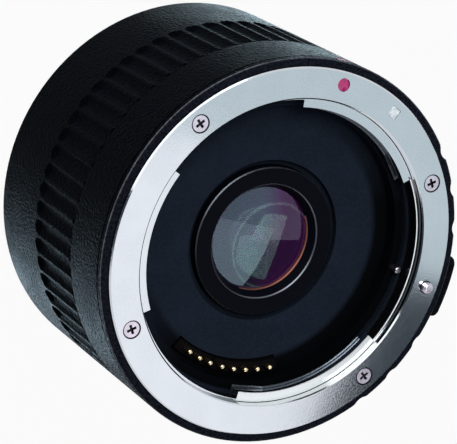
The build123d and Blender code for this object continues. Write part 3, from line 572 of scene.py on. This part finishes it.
def throat_finish(material, place, shade, wall_shade_colour):
    """The ring's colour with painted shade on its throat wall, tab corners and screw holes, painted
    highlights on the low tab and the ledge's lip, and where it is not metal.
    """
    radius, height = radius_and_height(material, place)
    inside = below(material, radius, THROAT_RADIUS)
    over_ledge = above(material, height, LEDGE_HEIGHT - TAB_EDGE)
    on_tab = product(material, inside, over_ledge, in_spans(material, place, TAB_SPANS))
    from_ledge = gap_to(material, height, LEDGE_HEIGHT)
    wall = product(material, inside, below(material, height, WALL_TOP),
                   above(material, from_ledge, LEDGE_SKIN), above(material, radius, WALL_RADIUS))
    painted_wall_shade = product(material, wall, calculate(material, "SUBTRACT", 1.0, on_tab))
    # Painted shade in the corner where a tab meets the wall
    corner = product(material, on_tab, above(material, radius, WALL_RADIUS + CORNER_SHADE_REACH),
                     below(material, height, LEDGE_HEIGHT + CORNER_SHADE_HEIGHT))
    # Painted shade on the throat wall, round the screw holes and in the tabs' corners
    dark = largest(material, painted_wall_shade, near_screws(material, place, SCREW_HOLE_SHADE), corner)
    # Painted highlight: the low tab is made pale and partly not metal
    painted_tab_highlight = product(material, on_tab, in_spans(material, place, LOW_TAB))
    # Painted highlight on the ledge's edge between two tabs
    painted_lip_highlight = product(material, below(material, from_ledge, LIP_SKIN),
                  between(material, radius, *LIP_RADII), in_spans(material, place, LIP_SPANS))
    shade = blend_colour(material, painted_tab_highlight, shade, TAB_HIGHLIGHT_COLOUR)
    shade = blend_colour(material, dark, shade, wall_shade_colour)
    shade = blend_colour(material, painted_lip_highlight, shade, LIP_HIGHLIGHT_COLOUR)
    return shade, largest(material, dark, product(material, painted_tab_highlight, TAB_HIGHLIGHT_NOT_METAL), painted_lip_highlight)


def bayonet_metal(name, metal, throat=False):
    """Satin metal, blasted fine, with turning marks round the optical axis."""
    colour = tuple(metal.ring)
    material, shader = new_material(name, colour, metal.satin, metallic=1.0)
    place = object_place(material)
    radius = radius_and_height(material, place)[0]
    fine = noise(material, place, size=0.0003)
    broad = noise(material, place, size=0.006, detail=2.0)
    marks = turning_marks(material, radius, metal.turning)
    grains = spread(material, fine, 0.35, 0.65)
    shade = mottled(material, grains, colour, 0.93, 1.0)
    clouds = spread(material, broad, 0.4, 0.65, 0.0, 0.5)
    shade = blend_colour(material, clouds, shade, tinted(colour, 1.04))
    # Painted shade and painted highlights in the throat
    if throat:
        shade, plain = throat_finish(material, place, shade, tuple(metal.wall))
        bare = calculate(material, "SUBTRACT", 1.0, plain)
        connect(material, bare, shader.inputs["Metallic"])
    connect(material, shade, shader.inputs["Base Color"])
    uneven(material, shader, fine, metal.satin - 0.03, metal.satin + 0.05)
    under = add_bump(material, shader, marks, distance=0.0000003)
    add_bump(material, shader, fine, distance=0.000004, under=under)
    return material


class TELECON_OT_finish_bayonets(bpy.types.Operator):
    """Satin metal on both bayonets, with painted shade and painted highlights in the front one's
    throat
    """

    bl_idname = "telecon.finish_bayonets"
    bl_label = "Finish Bayonets"

    def execute(self, context):
        metal = context.scene.telecon_metal
        put_material(bayonet_metal("bayonet_front", metal, throat=True), "front_mount_ring")
        put_material(bayonet_metal("bayonet_rear", metal), "rear_mount")
        return {"FINISHED"}


def bright_metal(name, colour, roughness, grain_size=0.0001, painted_shade_below=None):
    """Plated metal with fine scratches, turned black by painted shade below a height if one is given.
    """
    material, shader = new_material(name, colour, roughness, metallic=1.0)
    place = object_place(material)
    fine = noise(material, place, size=grain_size)
    broad = noise(material, place, size=grain_size * 12.0, detail=2.0)
    clouds = spread(material, broad, 0.35, 0.7)
    shade = mottled(material, clouds, colour, 0.82, 1.0)
    if painted_shade_below is not None:
        # Painted shade: black in the recesses below that height
        shaded_recess = below(material, split_place(material, place)[2], painted_shade_below)
        shade = blend_colour(material, shaded_recess, shade, tinted(colour, 0.03))
    connect(material, shade, shader.inputs["Base Color"])
    uneven(material, shader, fine, roughness * 0.7, roughness * 1.4)
    add_bump(material, shader, fine, distance=grain_size * 0.02)
    return material


class TELECON_OT_plate_fasteners(bpy.types.Operator):
    """Bright screws, pins and release arm, and the leaf spring"""

    bl_idname = "telecon.plate_fasteners"
    bl_label = "Plate Fasteners"

    def execute(self, context):
        metal = context.scene.telecon_metal
        recess_shade_level = FACE_HEIGHT - RECESS_SHADE_DEPTH
        front = bright_metal("front_screw", tuple(metal.screw), 0.3, painted_shade_below=recess_shade_level)
        put_material(front, "front_mount_screws")
        screw = bright_metal("bright_screw", tuple(metal.screw), 0.22)
        put_material(screw, "rear_mount_screws", "cell_screws", "board_screws",
                     "contact_block_screws", "release_arm_screws", "lock_pin", "rotation_stop_pin",
                     "release_arm")
        put_material(bright_metal("leaf_steel", tuple(metal.leaf), 0.4), "mount_leaf_spring")
        return {"FINISHED"}


def coil_spring(name, node, wire, turns, material):
    """A coil of round wire with a closed turn at each end, in the place of a node's sleeve."""
    low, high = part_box(node)
    radius = (high[0] - low[0] - wire) / 2
    rise = high[2] - low[2] - wire
    deselect_all()
    bpy.ops.mesh.primitive_circle_add(vertices=WIRE_FACETS, radius=wire / 2,
                                      location=(radius, 0.0, 0.0),
                                      rotation=(math.radians(90.0), 0.0, 0.0))
    coil = bpy.context.active_object
    coil.name = name
    bpy.ops.object.transform_apply(location=True, rotation=True, scale=True)
    winding = coil.modifiers.new("winding", "SCREW")
    winding.axis = "Z"
    winding.angle = math.tau * turns
    winding.screw_offset = rise
    winding.steps = round(TURN_FACETS * turns)
    winding.render_steps = winding.steps
    bpy.ops.object.modifier_apply(modifier=winding.name)
    bpy.ops.object.mode_set(mode="EDIT")
    bpy.ops.mesh.select_all(action="SELECT")
    bpy.ops.mesh.fill_holes(sides=0)
    bpy.ops.mesh.select_all(action="SELECT")
    bpy.ops.mesh.normals_make_consistent(inside=False)
    bpy.ops.object.mode_set(mode="OBJECT")
    rings = []
    for height in (0.0, rise):
        bpy.ops.mesh.primitive_torus_add(major_radius=radius, minor_radius=wire / 2,
                                         major_segments=END_TURN_FACETS,
                                         minor_segments=WIRE_FACETS,
                                         location=(0.0, 0.0, height))
        rings.append(bpy.context.active_object)
    for ring in rings:
        ring.select_set(True)
    coil.select_set(True)
    bpy.context.view_layer.objects.active = coil
    bpy.ops.object.join()
    coil.location = ((low[0] + high[0]) / 2, (low[1] + high[1]) / 2, low[2] + wire / 2)
    bpy.ops.object.transform_apply(location=True, rotation=True, scale=True)
    bpy.ops.object.shade_smooth_by_angle(angle=math.radians(60.0))
    coil.data.materials.clear()
    coil.data.materials.append(material)
    return coil


def fit_spring(coil, node):
    """The coil stands in the housing in place of the node's sleeve, which is hidden."""
    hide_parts(node)
    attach(coil, "housing")
    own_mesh(coil)


class TELECON_OT_wind_springs(bpy.types.Operator):
    """Coil springs under the contact pins and the release arm"""

    bl_idname = "telecon.wind_springs"
    bl_label = "Wind Springs"

    def execute(self, context):
        springs = context.scene.telecon_springs
        steel = bright_metal("spring_steel", tuple(context.scene.telecon_metal.spring), 0.35)
        release = coil_spring("release_coil", "release_spring", springs.release_wire,
                              springs.release_turns, steel)
        fit_spring(release, "release_spring")
        first = coil_spring("contact_coil_1", "contact_spring_1", springs.contact_wire,
                            springs.contact_turns, steel)
        start = Vector(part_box("contact_spring_1")[0])
        for number in range(2, PIN_COUNT + 1):
            node = f"contact_spring_{number}"
            coil = first.copy()
            coil.data = first.data.copy()
            coil.name = f"contact_coil_{number}"
            context.collection.objects.link(coil)
            deselect_all()
            coil.select_set(True)
            context.view_layer.objects.active = coil
            coil.location = Vector(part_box(node)[0]) - start
            bpy.ops.object.transform_apply(location=True, rotation=True, scale=True)
            fit_spring(coil, node)
        fit_spring(first, "contact_spring_1")
        return {"FINISHED"}


def matt_lining(name, colour, size=0.00035, painted_shade=False):
    """Matt black lining with a faint dusty mottle, and painted shade over a part of it if asked."""
    material, shader = new_material(name, colour, roughness=0.72)
    shader.inputs["Specular IOR Level"].default_value = 0.03
    place = object_place(material)
    fine = noise(material, place, size, detail=4.0)
    broad = noise(material, place, size=size * 20.0)
    grains = spread(material, fine, *GRAIN_RANGE)
    shade = mottled(material, grains, colour, 0.8, 1.25)
    dust = spread(material, broad, 0.4, 0.75, 0.0, 0.4)
    shade = blend_colour(material, dust, shade, tinted(colour, 1.7))
    # Painted shade: the lining turns black beyond a radius, to each side of a middle angle
    if painted_shade:
        radius = radius_and_height(material, place)[0]
        turn = gap_to(material, angle_about_axis(material, place), LINING_SHADE_MIDDLE)
        outward = spread(material, radius, LINING_SHADE_RADIUS, LINING_SHADE_RADIUS + LINING_SHADE_FADE,
                         0.0, LINING_SHADE_SHARE)
        around = spread(material, turn, LINING_SHADE_REACH * LINING_SHADE_EVEN, LINING_SHADE_REACH, 1.0, 0.0)
        shade = blend_colour(material, product(material, outward, around), shade, BLACK)
    connect(material, shade, shader.inputs["Base Color"])
    uneven(material, shader, fine, 0.62, 0.8)
    add_bump(material, shader, grains, distance=0.000006)
    return material


class TELECON_OT_line_throat(bpy.types.Operator):
    """Matt linings of the throat and the spigot, and the inner frame"""

    bl_idname = "telecon.line_throat"
    bl_label = "Line Throat"

    def execute(self, context):
        paint = context.scene.telecon_paint
        front = matt_lining("throat_lining", tuple(paint.baffle), painted_shade=True)
        put_material(front, "front_baffle")
        lining = matt_lining("rear_lining", tuple(paint.baffle))
        put_material(lining, "rear_baffle", "spigot_liner")
        moulding = matt_lining("inner_frame", tinted(tuple(paint.baffle), 0.6), 0.0005)
        put_material(moulding, "chassis", "mount_spacer")
        return {"FINISHED"}


def nose_finish(material, place, shade, nose):
    """The anodised colour with bared bevels and a coppery painted reflection on part of the seat, and
    where they are.
    """
    face_height, outer_radius = nose
    radius, height = radius_and_height(material, place)
    on_bevel = between(material, height, face_height - BEVEL_HEIGHT, face_height - NOSE_SKIN)
    outer_bevel = above(material, radius, outer_radius - BEVEL_WIDTH)
    mouth_bevel = below(material, radius, NOSE_MOUTH + NOSE_SKIN)
    bevels = product(material, on_bevel, largest(material, outer_bevel, mouth_bevel))
    painted_seat_reflection = product(material, below(material, radius, NOSE_SEAT + SEAT_WIDTH),
                      in_spans(material, place, SEAT_SPANS))
    shade = blend_colour(material, bevels, shade, BARE_COLOUR)
    shade = blend_colour(material, painted_seat_reflection, shade, COPPER_REFLECTION_COLOUR)
    return shade, largest(material, bevels, painted_seat_reflection)


def anodised_metal(name, colour, nose=None):
    """Black anodised metal with turning marks, and the nose ring's bare edges and painted reflection
    if it is that.
    """
    material, shader = new_material(name, colour, roughness=0.34)
    shader.inputs["Specular IOR Level"].default_value = 0.03
    place = object_place(material)
    radius, height = radius_and_height(material, place)
    fine = noise(material, place, size=0.00015, detail=2.0)
    along = calculate(material, "ADD", radius, height)
    marks = turning_marks(material, along, ANODISED_TURNING)
    shade = mottled(material, fine, colour, 0.8, 1.3)
    if nose is not None:
        shade, bared = nose_finish(material, place, shade, nose)
        connect(material, bared, shader.inputs["Metallic"])
    connect(material, shade, shader.inputs["Base Color"])
    uneven(material, shader, fine, 0.28, 0.42)
    add_bump(material, shader, marks, distance=0.0000015)
    return material


class TELECON_OT_anodise_cell(bpy.types.Operator):
    """Black anodised nose ring, lens cell, spacers and rear ring"""

    bl_idname = "telecon.anodise_cell"
    bl_label = "Anodise Cell"

    def execute(self, context):
        paint = context.scene.telecon_paint
        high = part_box("front_retaining_ring")[1]
        nose = anodised_metal("nose_anodised", tuple(paint.cell), nose=(high[2], high[0]))
        put_material(nose, "front_retaining_ring")
        cell = anodised_metal("cell_anodised", tuple(paint.cell))
        put_material(cell, "lens_cell", "rear_retaining_ring")
        # Anodised spacers whose purple colour is a painted reflection
        spacers = anodised_metal("spacer_purple_reflection", tuple(paint.spacer))
        put_material(spacers, "glass_spacer_1", "glass_spacer_2", "glass_spacer_3")
        return {"FINISHED"}


def coated_glass(name, index, tint, body, strength, side=None):
    """Clear glass that reflects in its coating's colour, with a painted reflection in another colour
    and a painted glow at one side if given.
    """
    material, shader = new_material(name, body, roughness=0.0)
    shader.inputs["Transmission Weight"].default_value = 1.0
    shader.inputs["Specular IOR Level"].default_value = strength
    shader.inputs["IOR"].default_value = index
    place = object_place(material)
    broad = noise(material, place, size=0.004, detail=2.0)
    clouds = spread(material, broad, 0.4, 0.7)
    shade = mottled(material, clouds, tint, 1.0, 0.9)
    if side is not None:
        reflection_tint, glow = side
        # Painted reflection tint and painted glow, strongest at one side of the element
        along_x, along_y = split_place(material, place)[:2]
        along = calculate(material, "ADD", product(material, along_x, SIDE_TURN[0]),
                          product(material, along_y, SIDE_TURN[1]))
        painted_side = spread(material, along, *SIDE_RANGE)
        shade = blend_colour(material, painted_side, shade, reflection_tint)
        painted_glow = blend_colour(material, painted_side, tinted(glow, PAINTED_GLOW_SHARE), glow)
        connect(material, painted_glow, shader.inputs["Emission Color"])
        shader.inputs["Emission Strength"].default_value = 1.0
        shader.inputs["Coat Weight"].default_value = 0.4
        shader.inputs["Coat Roughness"].default_value = 0.0
        shader.inputs["Coat IOR"].default_value = 1.8
    connect(material, shade, shader.inputs["Specular Tint"])
    return material


class TELECON_OT_coat_glass(bpy.types.Operator):
    """Coated glass, blue in front with a painted purple reflection and glow at one side, green next,
    and magenta and amber behind
    """

    bl_idname = "telecon.coat_glass"
    bl_label = "Coat Glass"

    def execute(self, context):
        glass = context.scene.telecon_glass
        clear = tuple(glass.body)
        rear = tuple(glass.rear_body)
        side = (tuple(glass.side), tuple(glass.glow))
        front = coated_glass("glass_front", glass.front_index, tuple(glass.front), clear, 1.0, side)
        put_material(front, "lens_element_1")
        green = coated_glass("glass_green", glass.index, tuple(glass.green), rear, 1.0)
        put_material(green, "lens_element_2")
        amber = coated_glass("glass_amber", glass.index, tuple(glass.amber), rear, 0.2)
        put_material(amber, "lens_element_4")
        magenta = coated_glass("glass_magenta", glass.index, tuple(glass.magenta), rear, 0.2)
        put_material(magenta, "lens_element_3", "lens_element_5", "lens_element_6",
                     "lens_element_7")
        return {"FINISHED"}


class TELECON_OT_gild_contacts(bpy.types.Operator):
    """Gold contacts in matt black blocks, and the black chip"""

    bl_idname = "telecon.gild_contacts"
    bl_label = "Gild Contacts"

    def execute(self, context):
        metal = context.scene.telecon_metal
        paint = context.scene.telecon_paint
        gold = bright_metal("contact_gold", tuple(metal.gold), 0.2, 0.00006)
        put_material(gold, "rear_contact_pads")
        put_material(gold, *[f"contact_pin_{number}" for number in range(1, PIN_COUNT + 1)])
        plastic = matt_lining("contact_plastic", tuple(paint.contact_plastic), 0.00012)
        put_material(plastic, "front_contact_block", "front_contact_cover",
                     "rear_contact_block", "control_chip")
        return {"FINISHED"}


def lacquer(name, colour, roughness=0.12, coat=0.6, level=0.5):
    """Slightly clouded colour under a clear coat, as on enamel, solder mask and film."""
    material, shader = new_material(name, colour, roughness)
    shader.inputs["Specular IOR Level"].default_value = level
    shader.inputs["Coat Weight"].default_value = coat
    shader.inputs["Coat Roughness"].default_value = 0.05
    place = object_place(material)
    broad = noise(material, place, size=0.0006, detail=2.0)
    clouds = spread(material, broad, 0.35, 0.65)
    shade = mottled(material, clouds, colour, 0.75, 1.25)
    connect(material, shade, shader.inputs["Base Color"])
    return material


class TELECON_OT_fill_marks(bpy.types.Operator):
    """Enamel in the index marks"""

    bl_idname = "telecon.fill_marks"
    bl_label = "Fill Marks"

    def execute(self, context):
        marks = context.scene.telecon_marks
        red = tuple(marks.red)
        put_material(lacquer("red_enamel", red), "red_index_dot")
        side = lacquer("side_enamel", red, roughness=0.6, coat=0.0, level=0.1)
        put_material(side, "barrel_index_marks")
        white = lacquer("white_enamel", tuple(marks.white), roughness=0.4, coat=0.1)
        put_material(white, "white_index_square")
        return {"FINISHED"}


class TELECON_OT_finish_circuit(bpy.types.Operator):
    """Solder mask on the board and amber film on the flexible circuits"""

    bl_idname = "telecon.finish_circuit"
    bl_label = "Finish Circuit"

    def execute(self, context):
        marks = context.scene.telecon_marks
        mask = lacquer("solder_mask", tuple(marks.board), roughness=0.3)
        put_material(mask, "circuit_board")
        film = lacquer("amber_film", tuple(marks.film), roughness=0.3)
        put_material(film, "flex_circuits")
        return {"FINISHED"}


def white_for_camera(material, shader):
    """Show the floor as white to the camera and in mirrors and glass, and as itself elsewhere."""
    path = add_node(material, "ShaderNodeLightPath")
    seen = largest(material, path.outputs["Is Camera Ray"], path.outputs["Is Glossy Ray"],
                   path.outputs["Is Transmission Ray"])
    glow = add_node(material, "ShaderNodeEmission")
    glow.inputs["Color"].default_value = (*WHITE, 1.0)
    mixer = add_node(material, "ShaderNodeMixShader")
    connect(material, product(material, seen, FLOOR_SEEN), mixer.inputs["Fac"])
    connect(material, shader.outputs["BSDF"], mixer.inputs[1])
    connect(material, glow.outputs["Emission"], mixer.inputs[2])
    surface = material.node_tree.nodes["Material Output"].inputs["Surface"]
    connect(material, mixer.outputs["Shader"], surface)


def add_lamp(name, place, width, height, power, colour=WHITE, direction=None):
    """A soft rectangular lamp that shines at the origin, or in a direction if one is given."""
    deselect_all()
    aim = -Vector(place) if direction is None else Vector(direction)
    turn = Vector(DOWN).rotation_difference(aim)
    bpy.ops.object.light_add(type="AREA", location=place, rotation=turn.to_euler())
    lamp = bpy.context.active_object
    lamp.name = name
    lamp.data.shape = "RECTANGLE"
    lamp.data.size = width
    lamp.data.size_y = height
    lamp.data.energy = power
    lamp.data.color = colour
    lamp.visible_camera = False
    return lamp


class TELECON_OT_set_stage(bpy.types.Operator):
    """Pale floor, soft lamps, even room light and the camera"""

    bl_idname = "telecon.set_stage"
    bl_label = "Set Stage"

    def execute(self, context):
        scene = context.scene
        stage = scene.telecon_stage
        scene.view_settings.view_transform = "Standard"
        self.lay_floor(stage)
        self.hang_lamps(stage)
        self.light_room(scene, stage)
        self.place_camera(scene, stage)
        return {"FINISHED"}

    def lay_floor(self, stage):
        """A wide pale disc well below the part, with a backdrop round it."""
        deselect_all()
        low = CAD_BOX[0][2] - stage.floor_drop
        bpy.ops.mesh.primitive_cylinder_add(vertices=FLOOR_SIDES, radius=stage.floor_size / 2,
                                            depth=stage.wall_height, end_fill_type="NGON",
                                            location=(0.0, 0.0, low + stage.wall_height / 2))
        floor = bpy.context.active_object
        floor.name = "studio_floor"
        bpy.ops.object.transform_apply(location=True, rotation=True, scale=True)
        bpy.ops.object.mode_set(mode="EDIT")
        bpy.ops.mesh.select_all(action="DESELECT")
        bpy.ops.mesh.select_mode(type="FACE")
        bpy.ops.object.mode_set(mode="OBJECT")
        for face in floor.data.polygons:
            face.select = face.normal.z > 0.5
        bpy.ops.object.mode_set(mode="EDIT")
        bpy.ops.mesh.delete(type="FACE")
        bpy.ops.mesh.select_all(action="SELECT")
        bpy.ops.mesh.flip_normals()
        bpy.ops.object.mode_set(mode="OBJECT")
        material, shader = new_material("studio_floor", FLOOR_COLOUR, roughness=0.9)
        shader.inputs["Specular IOR Level"].default_value = 0.0
        white_for_camera(material, shader)
        floor.data.materials.append(material)

    def hang_lamps(self, stage):
        """Two wide lamps overhead, a fill lamp behind the camera, two low lamps and an edge lamp."""
        add_lamp("key_lamp", (0.0825, -0.1075, 0.25), width=0.165, height=0.185,
                 power=stage.key_power, colour=(1.0, 0.98, 1.0), direction=DOWN)
        add_lamp("cool_lamp", (0.17, 0.0805, 0.25), width=0.34, height=0.239,
                 power=stage.cool_power, colour=(0.88, 0.97, 1.0), direction=DOWN)
        fill = add_lamp("fill_lamp", (-0.25, 0.35, 0.7), width=0.35, height=0.35,
                        power=stage.fill_power)
        fill.visible_transmission = False
        add_lamp("low_lamp", (0.0, -0.18, -0.29), width=0.16, height=0.12,
                 power=stage.low_power, colour=(0.62, 0.84, 1.0))
        add_lamp("far_low_lamp", (0.15, 0.09, -0.29), width=0.14, height=0.14,
                 power=stage.low_power * FAR_LOW_SHARE, colour=(0.66, 0.9, 1.0))
        edge = add_lamp("edge_lamp", (-0.195, 0.156, 0.153), width=0.3, height=0.3,
                        power=stage.edge_power)
        edge.visible_transmission = False

    def light_room(self, scene, stage):
        """Dim even light from all round."""
        world = bpy.data.worlds.new("studio")
        scene.world = world
        world.use_nodes = True
        room = world.node_tree.nodes["Background"]
        room.inputs["Color"].default_value = (*ROOM_COLOUR, 1.0)
        room.inputs["Strength"].default_value = stage.room

    def place_camera(self, scene, stage):
        """Camera at the photograph's place and turn."""
        deselect_all()
        turn = Euler([math.radians(angle) for angle in CAMERA_TURN], "XYZ")
        bpy.ops.object.camera_add(location=CAMERA_PLACE, rotation=turn)
        camera = bpy.context.active_object
        camera.name = "photo_camera"
        camera.data.sensor_width = 36.0
        camera.data.lens = stage.lens
        camera.data.clip_start = 0.01
        scene.camera = camera


class TELECON_PT_sidebar(bpy.types.Panel):
    """Sizes, colours and steps of the teleconverter"""

    bl_idname = "TELECON_PT_sidebar"
    bl_label = "Teleconverter"
    bl_space_type = "VIEW_3D"
    bl_region_type = "UI"
    bl_category = "Teleconverter"

    def draw(self, context):
        layout = self.layout
        for group in GROUPS:
            box = layout.box()
            box.label(text=group.__doc__)
            settings = getattr(context.scene, GROUPS[group])
            for name in settings.bl_rna.properties.keys():
                if name not in {"rna_type", "name"}:
                    box.prop(settings, name)
        for operator in STEPS:
            layout.operator(operator.bl_idname)


GROUPS = {
    PaintSettings: "telecon_paint",
    MetalSettings: "telecon_metal",
    SpringSettings: "telecon_springs",
    GlassSettings: "telecon_glass",
    MarkSettings: "telecon_marks",
    StageSettings: "telecon_stage",
}

STEPS = (
    TELECON_OT_paint_barrels,
    TELECON_OT_finish_bayonets,
    TELECON_OT_plate_fasteners,
    TELECON_OT_wind_springs,
    TELECON_OT_line_throat,
    TELECON_OT_anodise_cell,
    TELECON_OT_coat_glass,
    TELECON_OT_gild_contacts,
    TELECON_OT_fill_marks,
    TELECON_OT_finish_circuit,
    TELECON_OT_set_stage,
)


def register():
    """Add the settings, the steps and the panel."""
    for group in GROUPS:
        bpy.utils.register_class(group)
        setattr(bpy.types.Scene, GROUPS[group], PointerProperty(type=group))
    for step in STEPS:
        bpy.utils.register_class(step)
    bpy.utils.register_class(TELECON_PT_sidebar)


def unregister():
    """Take the settings, the steps and the panel away."""
    bpy.utils.unregister_class(TELECON_PT_sidebar)
    for step in reversed(STEPS):
        bpy.utils.unregister_class(step)
    for group in reversed(list(GROUPS)):
        delattr(bpy.types.Scene, GROUPS[group])
        bpy.utils.unregister_class(group)


def main():
    """Run every step in order."""
    register()
    bpy.ops.telecon.paint_barrels()
    bpy.ops.telecon.finish_bayonets()
    bpy.ops.telecon.plate_fasteners()
    bpy.ops.telecon.wind_springs()
    bpy.ops.telecon.line_throat()
    bpy.ops.telecon.anodise_cell()
    bpy.ops.telecon.coat_glass()
    bpy.ops.telecon.gild_contacts()
    bpy.ops.telecon.fill_marks()
    bpy.ops.telecon.finish_circuit()
    bpy.ops.telecon.set_stage()


if __name__ == "__main__":
    main()
